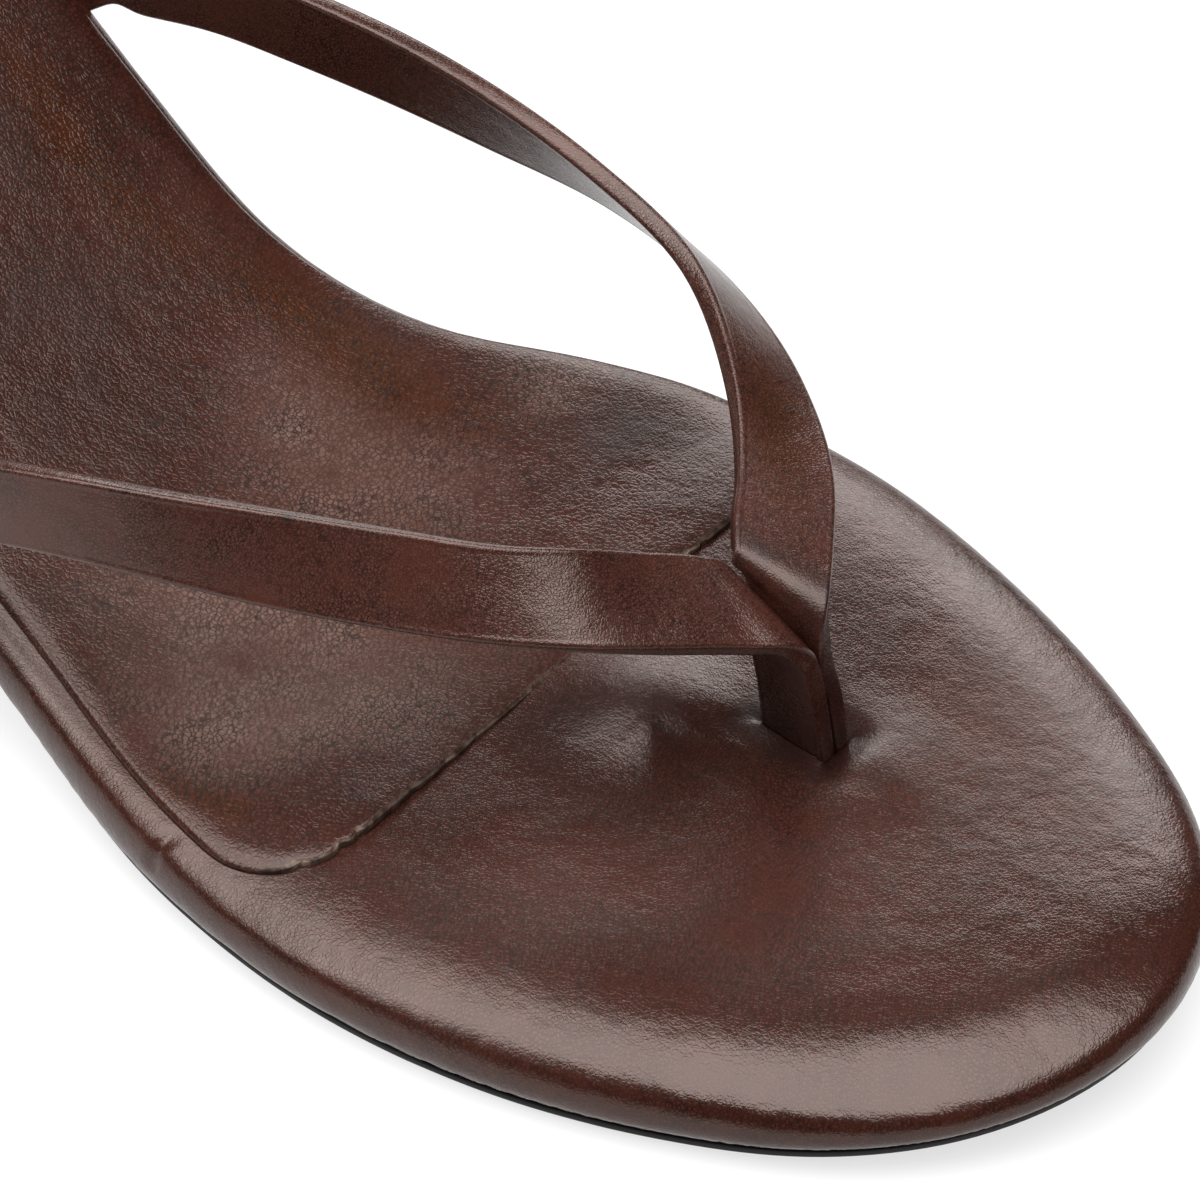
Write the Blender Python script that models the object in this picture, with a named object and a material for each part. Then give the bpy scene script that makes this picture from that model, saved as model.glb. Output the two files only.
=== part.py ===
"""Heeled mule with a toe post and two narrow straps, the right shoe of a pair.

Sizes and tables are in millimetres and MM turns them into metres.
+X points at the toe, +Y at the inner side of the foot, +Z up, and the floor is z = 0.
The tables are measured from a mark under the arch; CENTRE moves the shoe to the middle of its box.
"""

import math
from collections import namedtuple

import bmesh
import bpy
from mathutils import Vector

MM = 0.001

# Driving sizes of the shoe
TOE_X = 117.0
HEEL_X = -116.0
BALL_INNER = 42.1
BALL_OUTER = -40.4
HEEL_HEIGHT = 54.0
TOE_SPRING = 3.5
GAP = 0.3

# Stations along the shoe
TREAD_FRONT = 80.0
TREAD_BACK = 46.0
SHANK_START = TREAD_BACK - 62.0
SHANK_END = TREAD_BACK - 84.0
SEAT_START = TREAD_BACK - 124.0
SEAT_SLOPE = 0.17
HEEL_BREAST = -60.0
CENTRE = Vector(((TOE_X + HEEL_X) / 2, (BALL_INNER + BALL_OUTER) / 2, 0.0))

# Thicknesses
OUTSOLE_FORE = 1.6
OUTSOLE_SHANK = 1.6
FOOTBED_THICK = 7.5
SHANK_SHARE = 0.86
SOCK_THICK = 1.0
STRAP_THICK = 2.2
LIFT_THICK = 5.0

# Insets from the footbed's outline
OUTSOLE_INSET = 1.2
HEEL_INSET = 1.4
SOCK_FRONT = 49.8
SOCK_CORNER = 9.0
SOCK_INNER = 1.8
SOCK_OUTER = 2.2

# Strap tails
TAIL_REACH = 11.0
CLEARANCE = 0.35

Edge = namedtuple("Edge", "x y")
Ring = namedtuple("Ring", "inset share fore rear")
Sheet = namedtuple("Sheet", "inset share rise")
Post = namedtuple("Post", "x y z out dip width")
Strap = namedtuple("Strap", "front_x front_y front_z rear_x rear_y rear_z")
Tail = namedtuple("Tail", "out up run")
Taper = namedtuple("Taper", "down long wide back")

# The outline seen from above: toe tip, inner side to the heel's back, outer side to the toe
OUTLINE = [
    Edge(TOE_X, 3.4),
    Edge(113.2, 15.7),
    Edge(105.0, 25.0),
    Edge(92.0, 32.7),
    Edge(72.5, 39.3),
    Edge(50.0, BALL_INNER),
    Edge(36.0, 39.8),
    Edge(24.0, 34.5),
    Edge(12.0, 26.3),
    Edge(-2.0, 21.6),
    Edge(-18.0, 22.0),
    Edge(-40.0, 23.8),
    Edge(-65.0, 23.8),
    Edge(-88.0, 22.3),
    Edge(-104.0, 16.8),
    Edge(-113.2, 7.5),
    Edge(HEEL_X, -4.0),
    Edge(-113.2, -15.5),
    Edge(-104.0, -24.8),
    Edge(-88.0, -30.3),
    Edge(-65.0, -31.4),
    Edge(-40.0, -30.7),
    Edge(-15.0, -29.9),
    Edge(10.0, -32.5),
    Edge(34.0, -38.6),
    Edge(54.0, BALL_OUTER),
    Edge(72.0, -37.9),
    Edge(88.2, -32.1),
    Edge(101.6, -24.8),
    Edge(111.4, -14.9),
    Edge(115.9, -5.2),
]

# Footbed from the middle of its underside round the wall and the shoulder to the top.
# The forepart is a soft pillow; behind the ball the top runs flat to a firmer shoulder.
FOOTBED_RINGS = [
    Ring(3.0, 1.0, 0.0, 0.0),
    Ring(3.0, 0.5, 0.0, 0.0),
    Ring(3.0, 0.0, 0.0, 0.0),
    Ring(0.8, 0.0, 0.1, 0.1),
    Ring(0.1, 0.0, 0.9, 0.9),
    Ring(0.0, 0.0, 2.0, 2.2),
    Ring(0.1, 0.0, 3.2, 3.8),
    Ring(0.4, 0.0, 4.2, 5.1),
    Ring(1.1, 0.0, 4.95, 6.1),
    Ring(2.6, 0.0, 5.6, 6.7),
    Ring(4.6, 0.0, 6.25, 6.95),
    Ring(7.5, 0.0, 6.9, 7.1),
    Ring(11.5, 0.0, 7.3, 7.2),
    Ring(11.5, 0.4, 7.5, 7.2),
    Ring(11.5, 0.75, 7.5, 7.2),
    Ring(11.5, 1.0, 7.5, 7.2),
]

# Outsole from the middle of its underside round its edge to the top, rise as a share of its thickness
OUTSOLE_RINGS = [
    Sheet(2.0, 1.0, 0.0),
    Sheet(2.0, 0.5, 0.0),
    Sheet(0.5, 0.0, 0.0),
    Sheet(0.0, 0.0, 0.3),
    Sheet(0.0, 0.0, 0.8),
    Sheet(0.4, 0.0, 1.0),
    Sheet(2.0, 0.5, 1.0),
    Sheet(2.0, 1.0, 1.0),
]

# Sock liner, rise as a share of its thickness
SOCK_RINGS = [
    Sheet(4.5, 1.0, 0.0),
    Sheet(4.5, 0.6, 0.0),
    Sheet(4.5, 0.25, 0.0),
    Sheet(4.5, 0.0, 0.0),
    Sheet(1.8, 0.0, 0.0),
    Sheet(0.1, 0.0, 0.0),
    Sheet(0.0, 0.0, 0.3),
    Sheet(0.05, 0.0, 0.75),
    Sheet(0.4, 0.0, 1.0),
    Sheet(1.8, 0.0, 1.0),
    Sheet(4.5, 0.0, 1.0),
    Sheet(4.5, 0.25, 1.0),
    Sheet(4.5, 0.6, 1.0),
    Sheet(4.5, 1.0, 1.0),
]

# The post between its two layers, from inside the footbed up: how far out each layer lies, and the dip to the
# front of the line across the strap.
POST_ROWS = [
    Post(72.2, 9.3, 5.0, 1.0, 0, 7.4),
    Post(71.7, 9.2, 9.5, 1.0, 0, 7.4),
    Post(71.2, 8.7, 16.0, 1.0, 14, 7.8),
    Post(69.7, 8.1, 22.8, 1.0, 27, 10.0),
    Post(68.9, 8.0, 24.3, 1.3, 25, 11.0),
]

# The straps from the fold over the post back to the side of the waist, by the two edges of the band
INNER_STRAP = [
    Strap(73.2, 10.2, 24.2, 63.5, 8.9, 27.2),
    Strap(69.6, 15.2, 25.5, 61.4, 10.9, 28.0),
    Strap(64.6, 21.6, 26.4, 58.2, 15.4, 28.6),
    Strap(54.9, 29.0, 27.0, 51.6, 22.4, 31.0),
    Strap(41.6, 34.3, 27.9, 40.7, 29.6, 34.0),
    Strap(26.6, 35.2, 29.6, 27.8, 31.6, 36.8),
    Strap(15.1, 32.7, 31.2, 17.3, 31.3, 39.3),
    Strap(5.3, 29.4, 33.6, 7.3, 29.4, 42.0),
    Strap(-3.7, 26.6, 35.1, -3.1, 27.0, 43.6),
    Strap(-12.5, 25.2, 34.8, -13.6, 25.6, 43.2),
    Strap(-20.8, 24.5, 32.6, -23.6, 24.7, 40.6),
]
OUTER_STRAP = [
    Strap(73.0, 5.6, 23.3, 62.9, 6.2, 27.7),
    Strap(70.7, 2.6, 24.4, 61.7, 5.0, 28.5),
    Strap(66.3, -4.4, 27.0, 58.7, 0.2, 30.8),
    Strap(62.4, -9.8, 28.8, 56.9, -4.1, 33.6),
    Strap(54.6, -15.7, 29.4, 51.4, -10.3, 35.6),
    Strap(46.4, -20.7, 30.0, 44.2, -15.6, 37.0),
    Strap(38.0, -25.2, 30.6, 36.4, -20.9, 38.2),
    Strap(29.1, -29.0, 31.0, 27.7, -25.8, 38.6),
    Strap(19.5, -31.9, 30.3, 17.7, -30.1, 38.1),
    Strap(9.8, -33.6, 27.6, 6.6, -32.8, 35.2),
    Strap(3.8, -33.9, 24.2, -1.8, -33.5, 30.4),
]
INNER_END = -32.0
OUTER_END = -7.0
INNER_WIDTH = 9.4
OUTER_WIDTH = 8.6

# A strap's end beside and under the footbed: distance outside its edge, height over its underside, distance run
TAIL_ROWS = [
    Tail(0.9, 4.8, 0.0),
    Tail(0.4, 2.6, 2.2),
    Tail(-1.4, 1.3, 4.4),
    Tail(-4.6, 1.15, 7.6),
    Tail(-TAIL_REACH, 1.15, 14.0),
]
TAIL_SLANT = 0.2

# Heel from its seat down to the top lift: share of the drop, scale along, scale across, forward move of the back
HEEL_TAPER = [
    Taper(0.0, 1.0, 1.0, 0.0),
    Taper(0.06, 0.985, 0.985, 0.2),
    Taper(0.2, 0.86, 0.9, 1.2),
    Taper(0.4, 0.71, 0.79, 2.8),
    Taper(0.65, 0.6, 0.7, 4.4),
    Taper(0.85, 0.56, 0.66, 5.3),
    Taper(1.0, 0.55, 0.65, 5.8),
]


# Curves and heights
def smooth(rows, steps, places, closed=False):
    """Points on a smooth curve through rows; the first columns named by places set the spacing."""
    count = len(rows)

    def at(i):
        return rows[i % count] if closed else rows[min(max(i, 0), count - 1)]

    def span(i):
        return max(math.dist(at(i)[:places], at(i + 1)[:places]), 1e-6)

    def slope(i):
        if not closed and i in (0, count - 1):
            near = 0 if i == 0 else count - 2
            return [(b - a) / span(near) for a, b in zip(at(near), at(near + 1))]
        back, ahead = span(i - 1), span(i)
        triples = zip(at(i - 1), at(i), at(i + 1))
        return [((b - a) / back * ahead + (c - b) / ahead * back) / (back + ahead) for a, b, c in triples]

    points = []
    for i in range(count if closed else count - 1):
        length = span(i)
        start, end = slope(i), slope(i + 1)
        for k in range(steps):
            t = k / steps
            values = []
            for a, b, da, db in zip(at(i), at(i + 1), start, end):
                ease = t * t * (3 - 2 * t)
                bend = length * (da * t * (1 - t) ** 2 - db * t * t * (1 - t))
                values.append(a + (b - a) * ease + bend)
            points.append(tuple(values))
    if not closed:
        points.append(tuple(rows[-1]))
    return points


def ramp(x, start, end):
    """0 ahead of start, 1 behind end, with a smooth change between."""
    t = min(max((start - x) / (start - end), 0.0), 1.0)
    return t * t * (3 - 2 * t)


def ramp_area(x, start, end):
    """The area under ramp from start back to x."""
    wide = start - end
    t = min(max((start - x) / wide, 0.0), 1.0)
    return wide * (t**3 - t**4 / 2) + max(end - x, 0.0)


def shank_slope():
    """Slope of the shank that lifts the heel's back end to HEEL_HEIGHT."""
    back = HEEL_X
    climb = ramp_area(back, TREAD_BACK, SHANK_START)
    level = ramp_area(back, SHANK_END, SEAT_START)
    return (HEEL_HEIGHT - SEAT_SLOPE * level) / (climb - level)


SHANK_SLOPE = shank_slope()


def sole_line(x):
    """Height of the outsole's underside, flat on the floor under the ball."""
    if x > TREAD_FRONT:
        return TOE_SPRING * ((x - TREAD_FRONT) / (TOE_X - TREAD_FRONT)) ** 2
    climb = ramp_area(x, TREAD_BACK, SHANK_START)
    level = ramp_area(x, SHANK_END, SEAT_START)
    return SHANK_SLOPE * climb - (SHANK_SLOPE - SEAT_SLOPE) * level


def pitch(x):
    """Angle of the sole at x, in radians, positive where it climbs to the heel."""
    return math.atan(sole_line(x - 0.5) - sole_line(x + 0.5))


def outsole_thick(x):
    return OUTSOLE_FORE + (OUTSOLE_SHANK - OUTSOLE_FORE) * ramp(x, TREAD_BACK, SHANK_START)


def underside(x):
    """Height of the footbed's underside."""
    return sole_line(x) + outsole_thick(x) + GAP


def pad(x):
    """Thickness of the footbed as a share of FOOTBED_THICK."""
    thin = ramp(x, TREAD_BACK - 8, SHANK_START) - 0.8 * ramp(x, SHANK_END, SEAT_START)
    return 1 - (1 - SHANK_SHARE) * thin


def rise(x, row):
    """Height of a footbed ring above the underside, from the pillow in front to the firm shoulder behind."""
    blend = ramp(x, SOCK_FRONT, SOCK_FRONT - 20)
    return (row.fore + (row.rear - row.fore) * blend) * pad(x)


# Outlines
def inward(loop, i):
    """Unit vector into the loop at point i; the loop turns from the toe to the inner side."""
    ahead, behind = loop[(i + 1) % len(loop)], loop[i - 1]
    along = Vector((ahead[0] - behind[0], ahead[1] - behind[1])).normalized()
    return Vector((-along.y, along.x))


def inset_loop(loop, depth):
    """The loop moved inwards by depth(x, y)."""
    moved = []
    for i, (x, y) in enumerate(loop):
        step = inward(loop, i) * depth(x, y)
        moved.append((x + step.x, y + step.y))
    return moved


def ray(loop, origin, angle):
    """Where the ray from origin at this angle leaves the loop."""
    ux, uy = math.cos(angle), math.sin(angle)
    best = None
    for i in range(len(loop)):
        ax, ay = loop[i - 1][0] - origin[0], loop[i - 1][1] - origin[1]
        bx, by = loop[i][0] - origin[0], loop[i][1] - origin[1]
        side_a, side_b = ux * ay - uy * ax, ux * by - uy * bx
        if (side_a > 0) == (side_b > 0):
            continue
        t = side_a / (side_a - side_b)
        reach = (ax + (bx - ax) * t) * ux + (ay + (by - ay) * t) * uy
        if reach > 0 and (best is None or reach > best):
            best = reach
    return (origin[0] + ux * best, origin[1] + uy * best)


def across(loop, x):
    """The y of the inner and the outer side of the loop at station x."""
    hits = []
    for i in range(len(loop)):
        a, b = loop[i - 1], loop[i]
        if (a[0] > x) != (b[0] > x):
            hits.append(a[1] + (b[1] - a[1]) * (x - a[0]) / (b[0] - a[0]))
    return max(hits), min(hits)


FOOT_LOOP = smooth(OUTLINE, 12, 2, closed=True)


def edge_distance(x, y):
    """Distance from a point to the footbed's outline."""
    best = math.inf
    for i in range(len(FOOT_LOOP)):
        ax, ay = FOOT_LOOP[i - 1]
        ux, uy = FOOT_LOOP[i][0] - ax, FOOT_LOOP[i][1] - ay
        t = ((x - ax) * ux + (y - ay) * uy) / (ux * ux + uy * uy)
        t = min(max(t, 0.0), 1.0)
        best = min(best, math.hypot(x - ax - ux * t, y - ay - uy * t))
    return best


def footbed_top(x, y):
    """Height of the footbed's top at a point, between the rings of its upper half."""
    inset = edge_distance(x, y)
    rows = [row for row in FOOTBED_RINGS if row.share == 0 and row.fore > 3]
    for outer, inner in zip(rows, rows[1:]):
        if inset < inner.inset:
            t = max((inset - outer.inset) / (inner.inset - outer.inset), 0.0)
            return underside(x) + rise(x, outer) * (1 - t) + rise(x, inner) * t
    t = min((inset - rows[-1].inset) / 8, 1.0)
    return underside(x) + rise(x, rows[-1]) * (1 - t) + rise(x, FOOTBED_RINGS[-1]) * t


def outsole_loop():
    """The outsole's outline, cut straight at the heel breast."""
    inset = inset_loop(FOOT_LOOP, lambda x, y: OUTSOLE_INSET)
    return [p for p in inset if p[0] > HEEL_BREAST]


def heel_loop():
    """The heel seat's outline, straight at the breast."""
    inset = inset_loop(FOOT_LOOP, lambda x, y: HEEL_INSET)
    return [p for p in inset if p[0] < HEEL_BREAST - GAP]


def sock_margin(x, y):
    """Distance from the footbed's outline to the sock liner."""
    return SOCK_INNER if y > 0 else SOCK_OUTER


def sock_loop():
    """The sock liner's outline: straight front edge with two round corners."""
    inset = inset_loop(FOOT_LOOP, sock_margin)
    turn = SOCK_FRONT - SOCK_CORNER
    inner, outer = across(inset, turn)
    loop = [p for p in inset if p[0] < turn]
    arc = [math.radians(a) for a in range(0, 91, 10)]
    for a in arc:
        loop.append((turn + SOCK_CORNER * math.sin(a), outer + SOCK_CORNER * (1 - math.cos(a))))
    for a in reversed(arc):
        loop.append((turn + SOCK_CORNER * math.sin(a), inner - SOCK_CORNER * (1 - math.cos(a))))
    return loop


# Solids
def new_mesh(name, rings, collection, close_start=False, close_end=False):
    """A closed mesh whose rings of equal length are joined in order."""
    mesh = bmesh.new()
    grid = [[mesh.verts.new((Vector(p) - CENTRE) * MM) for p in ring] for ring in rings]
    for lower, upper in zip(grid, grid[1:]):
        for i in range(len(lower)):
            mesh.faces.new((lower[i - 1], lower[i], upper[i], upper[i - 1]))
    if close_start:
        mesh.faces.new(list(reversed(grid[0])))
    if close_end:
        mesh.faces.new(grid[-1])
    bmesh.ops.remove_doubles(mesh, verts=mesh.verts, dist=1e-6)
    bmesh.ops.dissolve_degenerate(mesh, edges=mesh.edges, dist=1e-7)
    bmesh.ops.recalc_face_normals(mesh, faces=mesh.faces)
    for face in mesh.faces:
        face.smooth = True
    data = bpy.data.meshes.new(name)
    mesh.to_mesh(data)
    mesh.free()
    made = bpy.data.objects.new(name, data)
    collection.objects.link(made)
    return made


def spokes(loop, stations, fan):
    """Pairs of outline point and spine point: straight across at the stations, fanned round both ends."""
    middles = {x: (x, sum(across(loop, x)) / 2) for x in stations}
    turns = []
    for x in stations:
        turns.append((middles[x], 90.0))
    for k in range(1, fan):
        turns.append((middles[stations[-1]], 90 + 180 * k / fan))
    for x in reversed(stations):
        turns.append((middles[x], 270.0))
    for k in range(1, fan):
        turns.append((middles[stations[0]], 270 + 180 * k / fan))
    return [(ray(loop, middle, math.radians(angle)), middle) for middle, angle in turns]


def slab(name, loop, stations, fan, rows, height, collection):
    """A sheet inside loop: each row gives a ring, and height(x, y, row) its z."""
    pairs = spokes(loop, stations, fan)
    edge = [p for p, middle in pairs]
    rings = []
    for row in rows:
        ring = []
        for i, (point, middle) in enumerate(pairs):
            place = Vector(point) + inward(edge, i) * row.inset
            place = place.lerp(Vector(middle), row.share)
            ring.append((place.x, place.y, height(place.x, place.y, row)))
        rings.append(ring)
    return new_mesh(name, rings, collection)


def stretch(start, end, count):
    """Evenly spaced stations from start to end."""
    return [start + (end - start) * k / (count - 1) for k in range(count)]


def across_strap(centre, dip, width):
    """Front and rear edge point of a band whose line across runs ahead and down by dip, in radians."""
    half = Vector((math.cos(dip), 0.0, -math.sin(dip))) * (width / 2)
    return Strap(*(centre + half), *(centre - half))


def tail(side, x, width):
    """The strap's end: down the wall of the waist at x, round its lower edge and under the footbed."""
    inner, outer = across(FOOT_LOOP, x)
    edge = inner if side > 0 else outer
    rows = []
    for row in TAIL_ROWS:
        at = x + row.up * math.tan(pitch(x)) * 0.8 - row.run * TAIL_SLANT
        centre = Vector((at, edge + side * row.out, underside(at) + row.up))
        rows.append(across_strap(centre, pitch(at), width))
    return rows


def post(side):
    """The rows of the post and its fold on one side."""
    rows = []
    for row in POST_ROWS:
        centre = Vector((row.x, row.y + side * row.out, row.z))
        rows.append(across_strap(centre, math.radians(row.dip), row.width))
    return rows


def strap(name, rows, grow, collection):
    """A flat band with round edges along rows; grow makes it larger on every side, for a cutter."""
    path = smooth(rows, 3, 6)
    fronts = [Vector(p[:3]) for p in path]
    rears = [Vector(p[3:]) for p in path]
    centres = [(a + b) / 2 for a, b in zip(fronts, rears)]
    half = STRAP_THICK / 2 + grow
    last = len(path) - 1
    rings = []
    for i, centre in enumerate(centres):
        along = (centres[min(i + 1, last)] - centres[max(i - 1, 0)]).normalized()
        wide = (fronts[i] - rears[i]).normalized()
        face = wide.cross(along).normalized()
        if i == 0:
            centre = centre - along * grow
        if i == last:
            centre = centre + along * grow
        reach = (fronts[i] - rears[i]).length / 2 + grow
        flat = [(-reach, 0.0), (-reach + 0.25, 0.55), (-reach + 0.9, 0.92), (0.0, 1.0)]
        upper = flat + [(-a, b) for a, b in reversed(flat[:3])]
        loop = upper + [(-a, -b) for a, b in upper[1:-1]]
        rings.append([centre + wide * a + face * (half * b) for a, b in loop])
    return new_mesh(name, rings, collection, close_start=True, close_end=True)


def heel_rings():
    """Rings of the covered heel, from the middle of its seat down to its foot."""
    loop = heel_loop()
    middle = (HEEL_BREAST + HEEL_X) / 2, sum(across(loop, -88.0)) / 2
    seat = [ray(loop, middle, math.radians(360 * k / 48)) for k in range(48)]
    rear = min(p[0] for p in seat)

    def top(x):
        return underside(x) - GAP

    rings = []
    for share in (0.0, 0.35, 0.7):
        inner = [Vector(middle).lerp(Vector(p), share) for p in seat]
        rings.append([(p.x, p.y, top(p.x)) for p in inner])
    for row in HEEL_TAPER:
        ring = []
        for x, y in seat:
            at_x = rear + row.back + (x - rear) * row.long
            at_y = middle[1] + (y - middle[1]) * row.wide
            drop = (top(x) - LIFT_THICK - GAP) * row.down
            ring.append((at_x, at_y, top(x) - drop))
        rings.append(ring)
    return rings


def lift_rings(foot):
    """Rings of the top lift under the heel's foot, with a small chamfer at the floor."""
    middle = sum((Vector(p[:2]) for p in foot), Vector((0.0, 0.0))) / len(foot)
    rings = []
    for scale, z in ((0.965, 0.0), (0.99, 0.7), (0.99, LIFT_THICK - 0.4), (0.97, LIFT_THICK)):
        placed = [middle.lerp(Vector(p[:2]), scale) for p in foot]
        rings.append([(p.x, p.y, z) for p in placed])
    return rings


# Scene set-up and materials
def clear_scene():
    for item in list(bpy.data.objects):
        bpy.data.objects.remove(item, do_unlink=True)


def new_collection(name):
    made = bpy.data.collections.new(name)
    bpy.context.scene.collection.children.link(made)
    return made


def dress(item, colour, roughness):
    """Gives the object its own Principled material."""
    material = bpy.data.materials.new(item.name + "_material")
    material.use_nodes = True
    shader = material.node_tree.nodes["Principled BSDF"]
    shader.inputs["Base Color"].default_value = (*colour, 1.0)
    shader.inputs["Roughness"].default_value = roughness
    shader.inputs["Metallic"].default_value = 0.0
    item.data.materials.append(material)


def boolean(item, cutter, operation):
    """Joins or cuts item with a cutter that is left out of the render."""
    change = item.modifiers.new(cutter.name, "BOOLEAN")
    change.operation = operation
    change.solver = "EXACT"
    change.object = cutter
    cutter.hide_render = True
    cutter.display_type = "WIRE"


def build():
    clear_scene()
    shoe = new_collection("heeled_mule")
    cutters = new_collection("cutters")
    inner_rows = post(1) + INNER_STRAP + tail(1, INNER_END, INNER_WIDTH)
    outer_rows = post(-1) + OUTER_STRAP + tail(-1, OUTER_END, OUTER_WIDTH)

    # Sole
    footbed = slab(
        "footbed",
        FOOT_LOOP,
        stretch(78.0, -92.0, 33),
        22,
        FOOTBED_RINGS,
        lambda x, y, row: underside(x) + rise(x, row),
        shoe,
    )
    outsole = slab(
        "outsole",
        outsole_loop(),
        stretch(78.0, HEEL_BREAST + 8, 28),
        18,
        OUTSOLE_RINGS,
        lambda x, y, row: sole_line(x) + row.rise * outsole_thick(x),
        shoe,
    )
    sock = slab(
        "sock_liner",
        sock_loop(),
        stretch(SOCK_FRONT - SOCK_CORNER - 8, -90.0, 26),
        44,
        SOCK_RINGS,
        lambda x, y, row: footbed_top(x, y) + GAP + row.rise * SOCK_THICK,
        shoe,
    )

    # Straps and toe post as one upper, and the room they take in the footbed
    upper = strap("upper", inner_rows, 0.0, shoe)
    boolean(upper, strap("outer_strap", outer_rows, 0.0, cutters), "UNION")
    boolean(footbed, strap("inner_strap_room", inner_rows, CLEARANCE, cutters), "DIFFERENCE")
    boolean(footbed, strap("outer_strap_room", outer_rows, CLEARANCE, cutters), "DIFFERENCE")

    # Heel
    rings = heel_rings()
    heel = new_mesh("heel", rings, shoe, close_end=True)
    lift = new_mesh("heel_lift", lift_rings(rings[-1]), shoe, close_start=True, close_end=True)

    dress(footbed, (0.115, 0.062, 0.047), 0.42)
    dress(sock, (0.125, 0.068, 0.052), 0.45)
    dress(upper, (0.105, 0.055, 0.042), 0.4)
    dress(heel, (0.11, 0.06, 0.046), 0.42)
    dress(outsole, (0.012, 0.01, 0.01), 0.5)
    dress(lift, (0.012, 0.011, 0.011), 0.6)


build()
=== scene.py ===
"""Looks of a heeled thong mule in brown leather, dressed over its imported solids.

Sizes in the tables are in millimetres in the shoe's own frame: x to the toe, y to the inner side, z up.
"""

import math
from collections import namedtuple

import bpy
import numpy as np
from bpy.props import FloatProperty, FloatVectorProperty, PointerProperty
from mathutils import Matrix, Quaternion, Vector
from mathutils.kdtree import KDTree


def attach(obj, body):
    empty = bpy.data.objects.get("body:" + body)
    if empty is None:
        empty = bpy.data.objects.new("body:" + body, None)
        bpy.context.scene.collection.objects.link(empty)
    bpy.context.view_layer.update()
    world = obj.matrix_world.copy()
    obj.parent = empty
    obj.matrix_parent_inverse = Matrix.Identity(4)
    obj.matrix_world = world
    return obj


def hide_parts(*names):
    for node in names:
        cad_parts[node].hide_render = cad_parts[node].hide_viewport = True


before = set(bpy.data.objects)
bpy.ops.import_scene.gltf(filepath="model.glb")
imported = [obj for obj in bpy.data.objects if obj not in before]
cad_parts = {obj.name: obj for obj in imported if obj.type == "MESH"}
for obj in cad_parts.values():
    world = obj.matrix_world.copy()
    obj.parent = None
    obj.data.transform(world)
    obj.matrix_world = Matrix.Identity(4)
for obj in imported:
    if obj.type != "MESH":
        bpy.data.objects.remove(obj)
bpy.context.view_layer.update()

bl_info = {
    "name": "Heeled thong mule",
    "version": (1, 0, 0),
    "blender": (4, 5, 0),
    "location": "View3D > Sidebar > Mule",
    "description": "Dresses the solids of a heeled thong mule in leather and rubber",
    "category": "Object",
}

MM = 0.001
ROOT = "root"
WELD = 1e-6

# The tables of the post and the straps are measured from a mark under the arch, which lies here
STRAP_ORIGIN = Vector((-0.5, -0.85, 0.0))

Post = namedtuple("Post", "x y z out dip width")
Band = namedtuple("Band", "front_x front_y front_z rear_x rear_y rear_z")
Dent = namedtuple("Dent", "x y long wide turn rise")
Crease = namedtuple("Crease", "x1 y1 x2 y2 width depth")
Patch = namedtuple("Patch", "x y long wide turn strength")
Lane = namedtuple("Lane", "across thickness")
Nick = namedtuple("Nick", "y wide bite")
Fall = namedtuple("Fall", "turn share")
Lamp = namedtuple("Lamp", "name direction distance size turn power")

# The post between its two layers: how far out each layer lies, and the dip of the line across
POST_ROWS = [
    Post(72.2, 9.3, 5.2, 1.0, 0, 7.4),
    Post(71.7, 9.2, 9.5, 1.0, 0, 7.4),
    Post(71.2, 8.7, 16.0, 1.0, 14, 7.8),
    Post(69.7, 8.1, 22.8, 1.0, 27, 10.0),
    Post(68.9, 8.0, 24.3, 1.3, 25, 11.0),
]

# The straps by their two edges, from the fold over the post to their ends under the footbed
INNER_STRAP = [
    Band(73.2, 10.2, 24.2, 63.5, 8.9, 27.2),
    Band(69.6, 15.2, 25.5, 61.4, 10.9, 28.0),
    Band(64.6, 21.6, 26.4, 58.2, 15.4, 28.6),
    Band(54.9, 29.0, 27.0, 51.6, 22.4, 31.0),
    Band(41.6, 34.3, 27.9, 40.7, 29.6, 34.0),
    Band(26.6, 35.2, 29.6, 27.8, 31.6, 36.8),
    Band(15.1, 32.7, 31.2, 17.3, 31.3, 39.3),
    Band(5.3, 29.4, 33.6, 7.3, 29.4, 42.0),
    Band(-3.7, 26.6, 35.1, -3.1, 27.0, 43.6),
    Band(-12.5, 25.2, 34.8, -13.6, 25.6, 43.2),
    Band(-20.8, 24.5, 32.6, -23.6, 24.7, 40.6),
    Band(-25.7, 24.1, 31.3, -33.7, 24.1, 36.1),
    Band(-27.2, 23.6, 30.0, -35.2, 23.6, 34.9),
    Band(-28.2, 21.8, 29.3, -36.3, 21.8, 34.2),
    Band(-28.9, 18.6, 29.6, -37.0, 18.6, 34.5),
    Band(-30.0, 13.0, 30.3, -38.1, 13.0, 35.2),
]
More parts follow.
